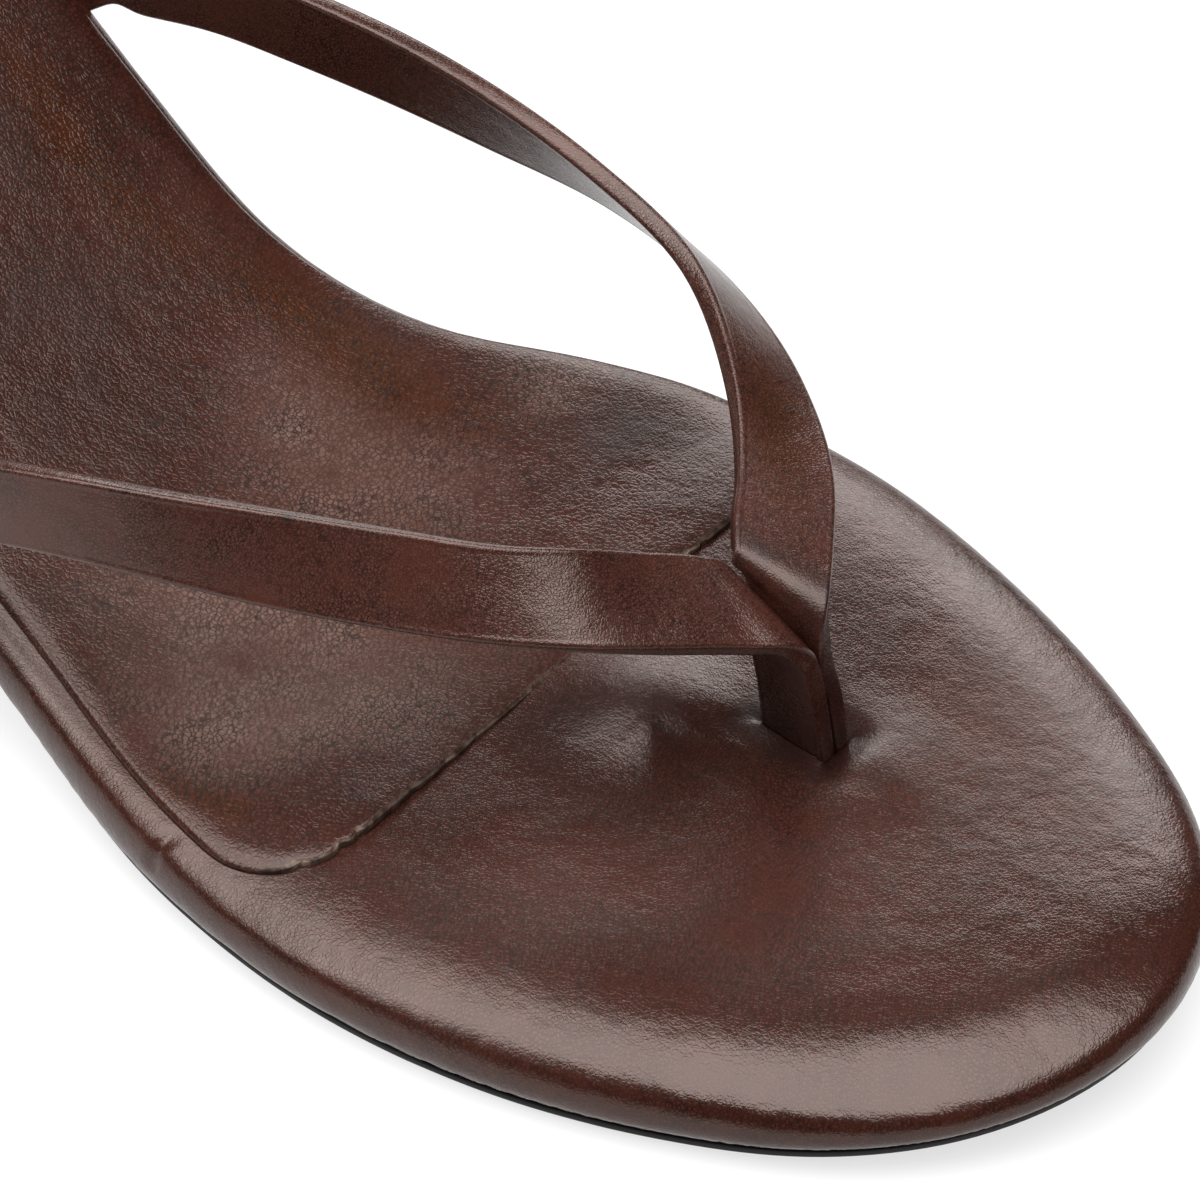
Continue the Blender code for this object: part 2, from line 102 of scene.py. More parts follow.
OUTER_STRAP = [
    Band(73.0, 5.6, 23.3, 62.9, 6.2, 27.7),
    Band(70.7, 2.6, 24.4, 61.7, 5.0, 28.5),
    Band(66.3, -4.4, 27.0, 58.7, 0.2, 30.8),
    Band(62.4, -9.8, 28.8, 56.9, -4.1, 33.6),
    Band(54.6, -15.7, 29.4, 51.4, -10.3, 35.6),
    Band(46.4, -20.7, 30.0, 44.2, -15.6, 37.0),
    Band(38.0, -25.2, 30.6, 36.4, -20.9, 38.2),
    Band(29.1, -29.0, 31.0, 27.7, -25.8, 38.6),
    Band(19.5, -31.9, 30.3, 17.7, -30.1, 38.1),
    Band(9.8, -33.6, 27.6, 6.6, -32.8, 35.2),
    Band(3.8, -33.9, 24.2, -1.8, -33.5, 30.4),
    Band(-1.0, -31.3, 16.8, -8.6, -31.3, 21.0),
    Band(-2.5, -30.8, 15.4, -10.0, -30.8, 19.6),
    Band(-3.6, -29.0, 14.6, -11.0, -29.0, 18.9),
    Band(-4.3, -25.8, 14.9, -11.7, -25.8, 19.2),
    Band(-5.4, -20.2, 15.5, -12.8, -20.2, 19.8),
]

# Half of a strap from its edge to its middle: distance from the edge, thickness as a share
STRAP_LANES = [
    Lane(0.0, 0.7),
    Lane(0.18, 0.9),
    Lane(0.5, 1.0),
    Lane(0.72, 0.94),
    Lane(0.95, 0.95),
    Lane(1.4, 0.98),
    Lane(2.8, 1.0),
]

# Soft swellings of the padded cover, behind the post and ahead of it
FOOTBED_DENTS = [
    Dent(58.4, 1.2, 8.2, 7.2, 20, 1.8),
    Dent(77.5, 8.0, 6.5, 5.5, 0, 0.7),
]

# How much the rim falls and the shoulder fills, by the direction from the middle of the forepart in degrees
FOREPART_X = 60.0
TOE_FALL = [
    Fall(-80, 0.0),
    Fall(-40, 0.35),
    Fall(-20, 0.85),
    Fall(-8, 0.85),
    Fall(6, 0.35),
    Fall(20, 0.0),
]
SHOULDER_RISE = [
    Fall(-112, 0.0),
    Fall(-85, 1.0),
    Fall(-50, 1.0),
    Fall(-25, 0.0),
]
RIM_REACH = 5.5
SHOULDER_INSET = 3.5

# The underside of the forepart, which the falling rim leaves alone, and the height of the wall over it
UNDERSIDE = 1.9
SPRING_START = 79.5
SPRING_RUN = 37.0
SPRING_RISE = 3.5
WALL_HEIGHT = 4.0

# The crease pressed across the rim and the wall, and the height that it stops at
FOOTBED_CREASES = [
    Crease(35.3, -37.2, 33.9, -40.5, 0.45, 0.4),
]
CREASE_LOWEST = 5.0

# Round the foot of the post: the height where the cover's upper side begins, the ring that gives its level,
# how far the level, the pull, the dip and the painted contact shadow reach, how dark that painted shadow is,
# and the side where the dip is deepest
UPPER_SIDE = 5.5
POST_RING = (2.5, 5.0)
POST_GAP = 0.05
LEVEL_REACH = 2.2
PULL_REACH = 1.2
DIP_REACH = 1.7
DIP_DEPTH = 0.9
DIP_SIDE = (0.15, 0.5)
POST_SHADOW_REACH = 2.0
POST_SHADOW_TONE = 1.6

# Places where the finish is rubbed to a warmer brown
SOCK_RUST = [
    Patch(-22.0, 9.5, 9.0, 3.0, -8, 0.9),
    Patch(-10.0, 8.5, 9.0, 3.0, 8, 0.8),
    Patch(5.0, 14.5, 8.0, 3.5, 8, 0.9),
    Patch(14.0, 15.5, 7.0, 3.5, 0, 0.9),
    Patch(23.0, 19.5, 6.0, 4.0, 20, 0.5),
    Patch(35.5, -33.5, 6.0, 1.8, 25, 1.0),
]

# Places where the sock is painted paler as painted sheen (above zero) or darker (below zero), the darker ones
# mostly painted shade with a few darker smears
SOCK_SHEEN_AND_SHADE = [
    Patch(29.6, -13.5, 13.0, 9.0, 20, 0.8),
    Patch(19.0, -17.0, 12.0, 8.0, 10, 0.6),
    Patch(19.0, 3.0, 12.0, 8.0, -10, 0.7),
    Patch(24.0, 12.0, 9.0, 6.0, 20, 0.4),
    Patch(27.4, 25.9, 5.0, 5.0, 30, 1.0),
    Patch(30.0, -26.0, 8.0, 7.0, 20, 0.7),
    Patch(10.4, 8.3, 8.0, 6.0, 0, 0.4),
    Patch(-1.8, -9.0, 8.0, 8.0, 0, -0.7),
    Patch(44.0, -23.0, 6.0, 9.0, 0, -0.4),
    Patch(42.1, -14.1, 6.0, 6.0, 0, 0.5),
    Patch(35.3, -20.1, 7.0, 6.0, 0, 0.5),
    Patch(30.4, 28.1, 8.0, 2.5, 35, -0.6),
    Patch(36.5, 28.0, 8.0, 3.5, 35, -0.9),
    Patch(36.4, 20.9, 6.0, 5.0, 35, -0.5),
    Patch(30.2, 22.5, 6.0, 2.5, 35, -0.4),
    Patch(-40.0, 0.0, 40.0, 30.0, 0, -0.3),
]

# Painted shade in the hollow on the inner side of the post
FOOTBED_SHADE = [
    Patch(71.5, 11.6, 4.0, 2.4, 0, -0.8),
]

# The straps: painted shade along the seam and down the post, and one dark pinhole; the rubbed places of the
# inner strap follow
STRAP_SHADE_AND_PINHOLE = [
    Patch(68.0, 10.0, 7.0, 1.8, 8, -1.0),
    Patch(71.5, 8.4, 6.0, 2.2, 0, -0.7),
    Patch(36.7, -22.3, 0.4, 0.4, 0, -1.4),
]
STRAP_RUST = [
    Patch(54.7, 23.1, 6.0, 3.0, -45, 0.8),
    Patch(60.9, 18.4, 5.0, 2.5, -50, 0.6),
]

# Nicks in the front edge of the sock
SOCK_NICKS = [
    Nick(-34.3, 0.7, 0.5),
    Nick(-30.4, 0.6, 0.45),
    Nick(-28.3, 0.5, 0.3),
    Nick(-21.0, 0.9, 0.15),
    Nick(-15.5, 0.8, 0.2),
    Nick(-11.4, 0.7, 0.5),
    Nick(-9.6, 0.4, 0.3),
    Nick(-6.8, 0.6, 0.45),
    Nick(-2.5, 0.8, 0.2),
    Nick(18.7, 0.6, 0.5),
    Nick(20.6, 0.5, 0.3),
]

# The sock's front: where its mesh is finer, where its cut edge begins, and how far in from the edge
# the fraying, the light-coloured fibres, the painted shadow line and the press of the glue reach
SOCK_FINE_X = 44.0
SOCK_FRONT_X = 43.0
SOCK_FRONT_FADE = 5.0
FRAY_REACH = 0.8
FIBRE_REACH = 0.3
SHADOW_LINE_REACH = 0.25
PRESS_REACH = 1.2

# The sock's outer edge is set further in than the solid's
OUTER_EDGE_Y = 15.0
OUTER_EDGE_FADE = 10.0
OUTER_EDGE_REACH = 4.0
OUTER_EDGE_SHIFT = (-0.3, 1.1, 0.33)

# Sizes of the leather's mottling and of the fibres at a cut edge, as noise scales in one metre
PATCH_SCALE = 150.0
CLOUD_SCALE = 38.0
FIBRE_SCALE = 900.0
SWELL_HEIGHT = 0.35
GRAIN_HEIGHT = 0.12

# Rows along each strap's mesh
INNER_ROWS = 260
OUTER_ROWS = 240
ROW_STEPS = 8


class MuleShape(bpy.types.PropertyGroup):
    """Sizes of the soft shapes that dress the solids."""

    cover_mesh: FloatProperty(
        name="Cover mesh size",
        description="Distance between the points of the footbed's cover",
        default=0.66 * MM,
        min=0.4 * MM,
        unit="LENGTH",
    )
    strap_thickness: FloatProperty(
        name="Strap thickness",
        description="Thickness of a strap at its middle",
        default=1.95 * MM,
        min=0.5 * MM,
        unit="LENGTH",
    )
    toe_drop: FloatProperty(
        name="Toe drop",
        description="How far the padded rim falls at the tip of the toe",
        default=1.6 * MM,
        min=0.0,
        unit="LENGTH",
    )
    shoulder_fill: FloatProperty(
        name="Shoulder fill",
        description="How far the padding fills out inside the outer rim",
        default=0.45 * MM,
        min=0.0,
        unit="LENGTH",
    )
    sock_press: FloatProperty(
        name="Sock press",
        description="How far the glued sock is pressed into the pad",
        default=0.55 * MM,
        min=0.0,
        unit="LENGTH",
    )


class MuleFinish(bpy.types.PropertyGroup):
    """Colours and surface of the leather and rubber."""

    hide: FloatVectorProperty(
        name="Leather",
        description="Brown of the leather",
        subtype="COLOR",
        default=(0.038, 0.0112, 0.0072),
    )
    # Mixed in where shade is painted and at a few darker smears; the grain's valleys use a darker share of it
    hide_dark_and_shade: FloatVectorProperty(
        name="Dark leather",
        description="Brown of the dark places; the valleys of the grain are darker still",
        subtype="COLOR",
        default=(0.019, 0.0055, 0.0038),
    )
    rust: FloatVectorProperty(
        name="Rubbed leather",
        description="Warm brown where the finish is rubbed",
        subtype="COLOR",
        default=(0.055, 0.014, 0.003),
    )
    # This greyed brown is painted sheen, mixed into the sock where it catches the light
    painted_sheen: FloatVectorProperty(
        name="Pale leather",
        description="Greyed brown where the sock is worn smooth",
        subtype="COLOR",
        default=(0.165, 0.096, 0.076),
    )
    sheen: FloatVectorProperty(
        name="Sheen tint",
        description="Warm tint of the light that the finish throws back",
        subtype="COLOR",
        default=(1.0, 0.84, 0.78),
    )
    raw_edge: FloatVectorProperty(
        name="Raw edge",
        description="Pale fibres of a cut edge",
        subtype="COLOR",
        default=(0.30, 0.22, 0.17),
    )
    rubber: FloatVectorProperty(
        name="Rubber",
        description="Near-black of the outsole and the lift",
        subtype="COLOR",
        default=(0.010, 0.008, 0.008),
    )
    grain: FloatProperty(
        name="Grain size",
        description="Breadth of one pebble of the leather's grain",
        default=0.46 * MM,
        min=0.1 * MM,
        unit="LENGTH",
    )
    roughness: FloatProperty(
        name="Roughness",
        description="Roughness of the leather's finish",
        default=0.18,
        min=0.05,
        max=1.0,
        subtype="FACTOR",
    )


class MuleStage(bpy.types.PropertyGroup):
    """Camera, lamps and floor."""

    azimuth: FloatProperty(
        name="Azimuth",
        description="Turn of the camera about the shoe",
        default=math.radians(40.0),
        subtype="ANGLE",
    )
    elevation: FloatProperty(
        name="Elevation",
        description="Height of the camera over the floor as an angle",
        default=math.radians(46.0),
        subtype="ANGLE",
    )
    distance: FloatProperty(
        name="Distance",
        description="Distance of the camera from its aim",
        default=800.0 * MM,
        unit="LENGTH",
    )
    aim: FloatVectorProperty(
        name="Aim",
        description="Point on the floor at the middle of the picture",
        subtype="TRANSLATION",
        default=(40.5 * MM, 16.05 * MM, 0.0),
    )
    view_width: FloatProperty(
        name="View width",
        description="Breadth of the picture at the camera's aim",
        default=112.15 * MM,
        unit="LENGTH",
    )
    softbox_power: FloatProperty(
        name="Softbox power",
        description="Power of the large lamp over the shoe",
        default=27.0,
        unit="POWER",
    )
    far_panel_power: FloatProperty(
        name="Far panel power",
        description="Power of the low panel behind the inner side",
        default=6.0,
        unit="POWER",
    )
    side_panel_power: FloatProperty(
        name="Side panel power",
        description="Power of the small panel over the outer side",
        default=3.0,
        unit="POWER",
    )
    room_light: FloatProperty(
        name="Room light",
        description="Strength of the even light of the room",
        default=0.05,
    )
    floor_glow: FloatProperty(
        name="Floor glow",
        description="Light that the white floor sheet lets through from below",
        default=0.72,
    )


# Meshes
def only(piece):
    """Makes piece the one selected and active object."""
    bpy.ops.object.select_all(action="DESELECT")
    piece.select_set(True)
    bpy.context.view_layer.objects.active = piece


def edit_all(piece):
    """Opens piece in edit mode with all of it selected."""
    only(piece)
    bpy.ops.object.mode_set(mode="EDIT")
    bpy.ops.mesh.select_all(action="SELECT")


def copy_of_node(node, name):
    """A welded copy of a solid, in quads where its triangles allow."""
    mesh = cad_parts[node].data.copy()
    mesh.name = name
    mesh.materials.clear()
    piece = bpy.data.objects.new(name, mesh)
    bpy.context.collection.objects.link(piece)
    only(piece)
    if mesh.has_custom_normals:
        bpy.ops.mesh.customdata_custom_splitnormals_clear()
    edit_all(piece)
    bpy.ops.mesh.remove_doubles(threshold=WELD)
    bpy.ops.mesh.tris_convert_to_quads(
        face_threshold=math.radians(40), shape_threshold=math.radians(70)
    )
    bpy.ops.object.mode_set(mode="OBJECT")
    return piece


def apply_modifier(piece, kind, **settings):
    """Adds a modifier with these settings and applies it."""
    only(piece)
    bpy.ops.object.modifier_add(type=kind)
    modifier = piece.modifiers[-1]
    for key, value in settings.items():
        setattr(modifier, key, value)
    bpy.ops.object.modifier_apply(modifier=modifier.name)


def subdivide(piece, levels):
    apply_modifier(piece, "SUBSURF", levels=levels, render_levels=levels)


def crease_sharp_edges(piece, angle, crease):
    """Keeps the edges that turn more than angle crisp under subdivision."""
    only(piece)
    bpy.ops.object.mode_set(mode="EDIT")
    bpy.ops.mesh.select_mode(type="EDGE")
    bpy.ops.mesh.select_all(action="DESELECT")
    bpy.ops.mesh.edges_select_sharp(sharpness=math.radians(angle))
    bpy.ops.transform.edge_crease(value=crease)
    bpy.ops.object.mode_set(mode="OBJECT")


def refine_front(piece, front):
    """Splits the faces ahead of front, for the frayed edge of the sock."""
    only(piece)
    for polygon in piece.data.polygons:
        polygon.select = polygon.center.x > front * MM
    bpy.ops.object.mode_set(mode="EDIT")
    bpy.ops.mesh.select_mode(type="FACE")
    bpy.ops.mesh.subdivide(number_cuts=2)
    bpy.ops.object.mode_set(mode="OBJECT")


def points_of(piece):
    """Places and normals of the points of a piece."""
    count = len(piece.data.vertices)
    places = np.empty(count * 3)
    normals = np.empty(count * 3, np.float32)
    piece.data.vertices.foreach_get("co", places)
    piece.data.vertex_normals.foreach_get("vector", normals)
    return places.reshape(-1, 3), normals.reshape(-1, 3).astype(float)


def move_points(piece, places):
    piece.data.vertices.foreach_set("co", places.ravel())
    piece.data.update()


def oval(places, row):
    """Weight that falls off softly from the middle of an oval dent or patch, seen from above."""
    turn = math.radians(row.turn)
    dx = places[:, 0] / MM - row.x
    dy = places[:, 1] / MM - row.y
    along = (dx * math.cos(turn) + dy * math.sin(turn)) / row.long
    aside = (dy * math.cos(turn) - dx * math.sin(turn)) / row.wide
    return np.exp(-along * along - aside * aside)


def near(away, reach):
    """Weight that falls off softly with the distance away; reach is in millimetres."""
    return np.exp(-((away / (reach * MM)) ** 2))


def patches(places, rows):
    """The sum of soft patches at each point."""
    return sum(row.strength * oval(places, row) for row in rows)


def swell(piece, dents):
    """Raises or sinks the upper side of a piece at each dent."""
    places, normals = points_of(piece)
    upper = np.clip(normals[:, 2] * 2.0 - 0.4, 0.0, 1.0)
    for dent in dents:
        places[:, 2] += dent.rise * MM * oval(places, dent) * upper
    move_points(piece, places)


def groove(piece, creases, lowest):
    """Presses narrow troughs into a piece along lines seen from above, over the height lowest."""
    places, normals = points_of(piece)
    shift = np.zeros(len(places))
    for crease in creases:
        start = np.array((crease.x1, crease.y1)) * MM
        run = np.array((crease.x2, crease.y2)) * MM - start
        share = np.clip((places[:, :2] - start) @ run / (run @ run), 0.0, 1.0)
        away = np.linalg.norm(places[:, :2] - start - share[:, None] * run, axis=1)
        fade = np.minimum(1.0, 4.0 * share * (1.0 - share) + 0.35)
        shift += crease.depth * MM * fade * near(away, crease.width)
    shift[places[:, 2] < lowest * MM] = 0.0
    move_points(piece, places - normals * shift[:, None])


def share_at(turn, rows):
    """The share that a table gives at each direction."""
    return np.interp(turn, [row.turn for row in rows], [row.share for row in rows])


def shape_rim(piece, drop, fill):
    """Lets the padded rim fall round the toe, its wall in step, and fills the shoulder of the outer side."""
    places, normals = points_of(piece)
    away = rim_distance(places, normals)
    inset = away / (SHOULDER_INSET * MM)
    x, y, z = (places / MM).T
    turn = np.degrees(np.arctan2(y, x - FOREPART_X))
    under = UNDERSIDE + SPRING_RISE * np.clip((x - SPRING_START) / SPRING_RUN, 0.0, 1.0) ** 2
    height = np.clip((z - under) / WALL_HEIGHT, 0.0, 1.0)
    rise = fill * share_at(turn, SHOULDER_RISE) * inset * np.exp(1.0 - inset)
    fall = drop * share_at(turn, TOE_FALL) * near(away, RIM_REACH)
    places[:, 2] += height * (rise - fall)
    move_points(piece, places)


def from_post(places, thickness):
    """Distance of each point from the foot of the post, seen from above, and the way out from it."""
    foot = POST_ROWS[1]
    middle = (Vector((foot.x, foot.y, 0.0)) + STRAP_ORIGIN) * MM
    half = np.array((foot.width * MM / 2, foot.out * MM + thickness / 2))
    offset = places[:, :2] - np.array(middle[:2])
    beyond = np.maximum(np.abs(offset) - half, 0.0)
    away = np.linalg.norm(beyond, axis=1)
    return away, np.sign(offset) * beyond / np.maximum(away, 1e-9)[:, None]


def hug_post(piece, thickness):
    """Levels the upper side of a piece round the foot of the post, draws it in and sinks its inner side."""
    places, normals = points_of(piece)
    away, outward = from_post(places, thickness)
    upper = np.clip(places[:, 2] / MM - UPPER_SIDE, 0.0, 1.0)
    x, y = places[:, 0] / MM, places[:, 1] / MM
    curve = np.stack((np.ones(len(x)), x, y, x * x, x * y, y * y), axis=1)
    closest, furthest = POST_RING
    ring = (away > closest * MM) & (away < furthest * MM) & (normals[:, 2] > 0.6)
    level = curve @ np.linalg.lstsq(curve[ring], places[ring, 2], rcond=None)[0]
    flat = np.exp(-((away / (LEVEL_REACH * MM)) ** 4))
    places[:, 2] += upper * flat * (level - places[:, 2])
    pull = upper * np.maximum(away - POST_GAP * MM, 0.0) * near(away, PULL_REACH)
    places[:, :2] -= outward * pull[:, None]
    inner = np.clip(0.5 + outward @ np.array(DIP_SIDE), 0.0, 1.0)
    places[:, 2] -= upper * inner * DIP_DEPTH * MM * near(away, DIP_REACH)
    move_points(piece, places)


def rim_distance(places, normals):
    """Distance of each point of a piece from its side, seen from above."""
    rim = np.flatnonzero(np.abs(normals[:, 2]) < 0.5)
    tree = KDTree(len(rim))
    for index in rim:
        tree.insert((places[index, 0], places[index, 1], 0.0), int(index))
    tree.balance()
    return np.array([tree.find((x, y, 0.0))[2] for x, y in places[:, :2]])


def paint(piece, name, values):
    """Keeps one number for each point of the mesh, for its material."""
    attribute = piece.data.attributes.new(name, "FLOAT", "POINT")
    attribute.data.foreach_set("value", np.asarray(values, np.float32))


def settle(piece, node, material):
    """Smooth shading, material, and the solid that the piece stands for."""
    only(piece)
    bpy.ops.object.shade_smooth()
    piece.data.materials.clear()
    piece.data.materials.append(material)
    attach(piece, ROOT)
    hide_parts(node)


# Straps
def smooth_rows(rows, steps):
    """Points on a smooth curve through rows, spaced by the distance between them."""
    last = len(rows) - 1
    values = [np.array(row) for row in rows]
    spans = [max(np.linalg.norm(b - a), 1e-6) for a, b in zip(values, values[1:])]
    slopes = []
    for i in range(len(rows)):
        if i in (0, last):
            near = 0 if i == 0 else last - 1
            slopes.append((values[near + 1] - values[near]) / spans[near])
            continue
        back, ahead = spans[i - 1], spans[i]
        before = (values[i] - values[i - 1]) / back
        after = (values[i + 1] - values[i]) / ahead
        slopes.append((before * ahead + after * back) / (back + ahead))
    path = []
    for i in range(last):
        for k in range(steps):
            t = k / steps
            ease = t * t * (3 - 2 * t)
            bend = slopes[i] * t * (1 - t) ** 2 - slopes[i + 1] * t * t * (1 - t)
            path.append(values[i] + (values[i + 1] - values[i]) * ease + spans[i] * bend)
    path.append(values[last])
    return np.array(path)


def even_rows(path, count):
    """The same path at count rows, evenly spaced along its middle."""
    middle = (path[:, :3] + path[:, 3:]) / 2
    run = np.concatenate(([0.0], np.cumsum(np.linalg.norm(np.diff(middle, axis=0), axis=1))))
    at = np.linspace(0.0, run[-1], count)
    return np.stack([np.interp(at, run, path[:, i]) for i in range(6)], axis=1)


def post_rows(side):
    """The post's layer on one side, as edges of its band."""
    rows = []
    for row in POST_ROWS:
        dip = math.radians(row.dip)
        middle = Vector((row.x, row.y + side * row.out, row.z))
        half = Vector((math.cos(dip), 0.0, -math.sin(dip))) * (row.width / 2)
        rows.append(Band(*(middle + half), *(middle - half)))
    return rows


def strap_piece(name, rows, thickness, count):
    """A band of leather with a rolled bead along each edge: a grid laid along rows, then given thickness."""
    path = even_rows(smooth_rows(rows, ROW_STEPS), count)
    lanes = STRAP_LANES + STRAP_LANES[-2::-1]
    bpy.ops.object.select_all(action="DESELECT")
    bpy.ops.mesh.primitive_grid_add(x_subdivisions=count - 1, y_subdivisions=len(lanes) - 1, size=1.0)
    piece = bpy.context.object
    piece.name = name
    group = piece.vertex_groups.new(name="thickness")
    half_count = len(STRAP_LANES) - 1
    for vertex in piece.data.vertices:
        i = round((vertex.co.x + 0.5) * (count - 1))
        j = round((vertex.co.y + 0.5) * (len(lanes) - 1))
        front = Vector(path[i][:3])
        rear = Vector(path[i][3:])
        width = (front - rear).length
        from_edge = lanes[j].across / STRAP_LANES[-1].across
        narrow = min(lanes[j].across, width / 2 * from_edge)
        if j == half_count:
            narrow = width / 2
        share = narrow / width if j <= half_count else 1.0 - narrow / width
        vertex.co = (front.lerp(rear, share) + STRAP_ORIGIN) * MM
        group.add([vertex.index], lanes[j].thickness, "REPLACE")
    apply_modifier(
        piece,
        "SOLIDIFY",
        thickness=thickness,
        offset=0.0,
        vertex_group=group.name,
        use_even_offset=False,
        use_quality_normals=True,
    )
    return piece


# Materials
def add_node(tree, kind, settings=None, **inputs):
    """A shader node with its settings and the values or links of its inputs."""
    node = tree.nodes.new(kind)
    for key, value in (settings or {}).items():
        setattr(node, key, value)
    for key, value in inputs.items():
        socket = node.inputs[key.replace("_", " ")]
        if isinstance(value, bpy.types.NodeSocket):
            tree.links.new(value, socket)
        else:
            socket.default_value = value
    return node


def math_node(tree, operation, first, second):
    node = tree.nodes.new("ShaderNodeMath")
    node.operation = operation
    for socket, value in zip(node.inputs, (first, second)):
        if isinstance(value, bpy.types.NodeSocket):
            tree.links.new(value, socket)
        else:
            socket.default_value = value
    return node.outputs[0]


def mix_colour(tree, factor, first, second):
    node = tree.nodes.new("ShaderNodeMix")
    node.data_type = "RGBA"
    for socket, value in zip((node.inputs[0], node.inputs[6], node.inputs[7]), (factor, first, second)):
        if isinstance(value, bpy.types.NodeSocket):
            tree.links.new(value, socket)
        else:
            socket.default_value = value
    return node.outputs[2]


def spread(tree, value, low, high, start, end):
    """Maps the range low to high on start to end."""
    node = add_node(tree, "ShaderNodeMapRange", Value=value)
    node.inputs["From Min"].default_value = low
    node.inputs["From Max"].default_value = high
    node.inputs["To Min"].default_value = start
    node.inputs["To Max"].default_value = end
    return node.outputs["Result"]


def opaque(colour):
    return (*colour, 1.0)


def new_material(name):
    material = bpy.data.materials.new(name)
    material.use_nodes = True
    tree = material.node_tree
    return material, tree, tree.nodes["Principled BSDF"]


def attribute(tree, name):
    return add_node(tree, "ShaderNodeAttribute", {"attribute_name": name}).outputs["Fac"]


def leather(name, finish, size=1.0, depth=0.3, gloss=0.5, lighter=1.0, raw=False):
    """Pebbled leather with a soft gloss, mottled brown, with the rubbed places, painted sheen and painted
    shade that its points carry.
    """
    material, tree, shader = new_material(name)
    place = add_node(tree, "ShaderNodeTexCoord").outputs["Object"]
    pebble_scale = 1.0 / (finish.grain * size)
    drift = add_node(tree, "ShaderNodeTexNoise", Vector=place, Scale=pebble_scale * 0.5, Detail=1.0)
    offset = add_node(tree, "ShaderNodeVectorMath", {"operation": "SCALE"}, Vector=drift.outputs["Color"])
    offset.inputs["Scale"].default_value = finish.grain * size * 0.8
    moved = add_node(tree, "ShaderNodeVectorMath", {"operation": "ADD"})
    tree.links.new(place, moved.inputs[0])
    tree.links.new(offset.outputs[0], moved.inputs[1])
    pebbles = add_node(
        tree,
        "ShaderNodeTexVoronoi",
        {"feature": "DISTANCE_TO_EDGE"},
        Vector=moved.outputs[0],
        Scale=pebble_scale,
    )
    valley = spread(tree, pebbles.outputs["Distance"], 0.02, 0.22, 1.0, 0.0)
    fine = add_node(
        tree, "ShaderNodeTexNoise", Vector=place, Scale=pebble_scale * 1.3, Detail=3.0, Roughness=0.65
    )
    speck = spread(tree, fine.outputs[0], 0.5, 0.64, 0.0, 1.0)
    patchy = add_node(tree, "ShaderNodeTexNoise", Vector=place, Scale=PATCH_SCALE, Detail=4.0, Roughness=0.6)
    cloudy = add_node(tree, "ShaderNodeTexNoise", Vector=place, Scale=CLOUD_SCALE, Detail=3.0, Roughness=0.55)

    # Colour
    light = [min(1.0, c * 1.42 * lighter) for c in finish.hide]
    deep = [min(1.0, c * 1.04 * lighter) for c in finish.hide]
    clouds = spread(tree, cloudy.outputs[0], 0.35, 0.65, 0.0, 1.0)
    base = mix_colour(tree, clouds, opaque(deep), opaque(light))
    tone = attribute(tree, "tone")
    uneven = spread(tree, patchy.outputs[0], 0.3, 0.6, 0.35, 1.0)
    # The tone mixes in painted sheen above zero and painted shade below zero, with a few darker smears on the
    # sock
    paler = math_node(tree, "MULTIPLY", spread(tree, tone, 0.0, 1.0, 0.0, 1.0), uneven)
    darker = math_node(tree, "MULTIPLY", spread(tree, tone, 0.0, -1.0, 0.0, 1.0), uneven)
    worn = spread(tree, patchy.outputs[0], 0.3, 0.5, 0.6, 1.0)
    rubbed = math_node(tree, "MULTIPLY", attribute(tree, "rust"), worn)
    colour = mix_colour(tree, paler, base, opaque(finish.painted_sheen))
    colour = mix_colour(tree, rubbed, colour, opaque(finish.rust))
    colour = mix_colour(tree, darker, colour, opaque(finish.hide_dark_and_shade))
    pitted = math_node(tree, "MULTIPLY", math_node(tree, "MAXIMUM", valley, speck), uneven)
    deepest = [c * 0.4 for c in finish.hide_dark_and_shade]
    colour = mix_colour(tree, math_node(tree, "MULTIPLY", pitted, 0.9), colour, opaque(deepest))
    if raw:
        fibres = add_node(tree, "ShaderNodeTexNoise", Vector=place, Scale=FIBRE_SCALE, Detail=2.0)
        strands = spread(tree, fibres.outputs[0], 0.4, 0.6, 0.2, 1.0)
        shown = math_node(tree, "MULTIPLY", attribute(tree, "raw"), strands)
        colour = mix_colour(tree, shown, colour, opaque(finish.raw_edge))
    tree.links.new(colour, shader.inputs["Base Color"])

    # Gloss
    gloss_clouds = spread(tree, cloudy.outputs[0], 0.3, 0.7, -0.05, 0.08)
    rough = math_node(tree, "ADD", gloss_clouds, finish.roughness)
    rough = math_node(tree, "ADD", rough, math_node(tree, "MULTIPLY", pitted, 0.08))
    rough = math_node(tree, "ADD", rough, math_node(tree, "MULTIPLY", darker, 0.12))
    tree.links.new(rough, shader.inputs["Roughness"])
    shader.inputs["Specular IOR Level"].default_value = gloss
    shader.inputs["Specular Tint"].default_value = opaque(finish.sheen)

    # Grain
    height = math_node(tree, "ADD", valley, math_node(tree, "MULTIPLY", fine.outputs[0], 0.8))
    swells = add_node(tree, "ShaderNodeBump", Height=patchy.outputs[0], Strength=0.6)
    swells.inputs["Distance"].default_value = SWELL_HEIGHT * MM
    bump = add_node(tree, "ShaderNodeBump", {"invert": True}, Height=height, Strength=depth)
    bump.inputs["Distance"].default_value = finish.grain * size * GRAIN_HEIGHT
    tree.links.new(swells.outputs[0], bump.inputs["Normal"])
    tree.links.new(bump.outputs[0], shader.inputs["Normal"])
    return material


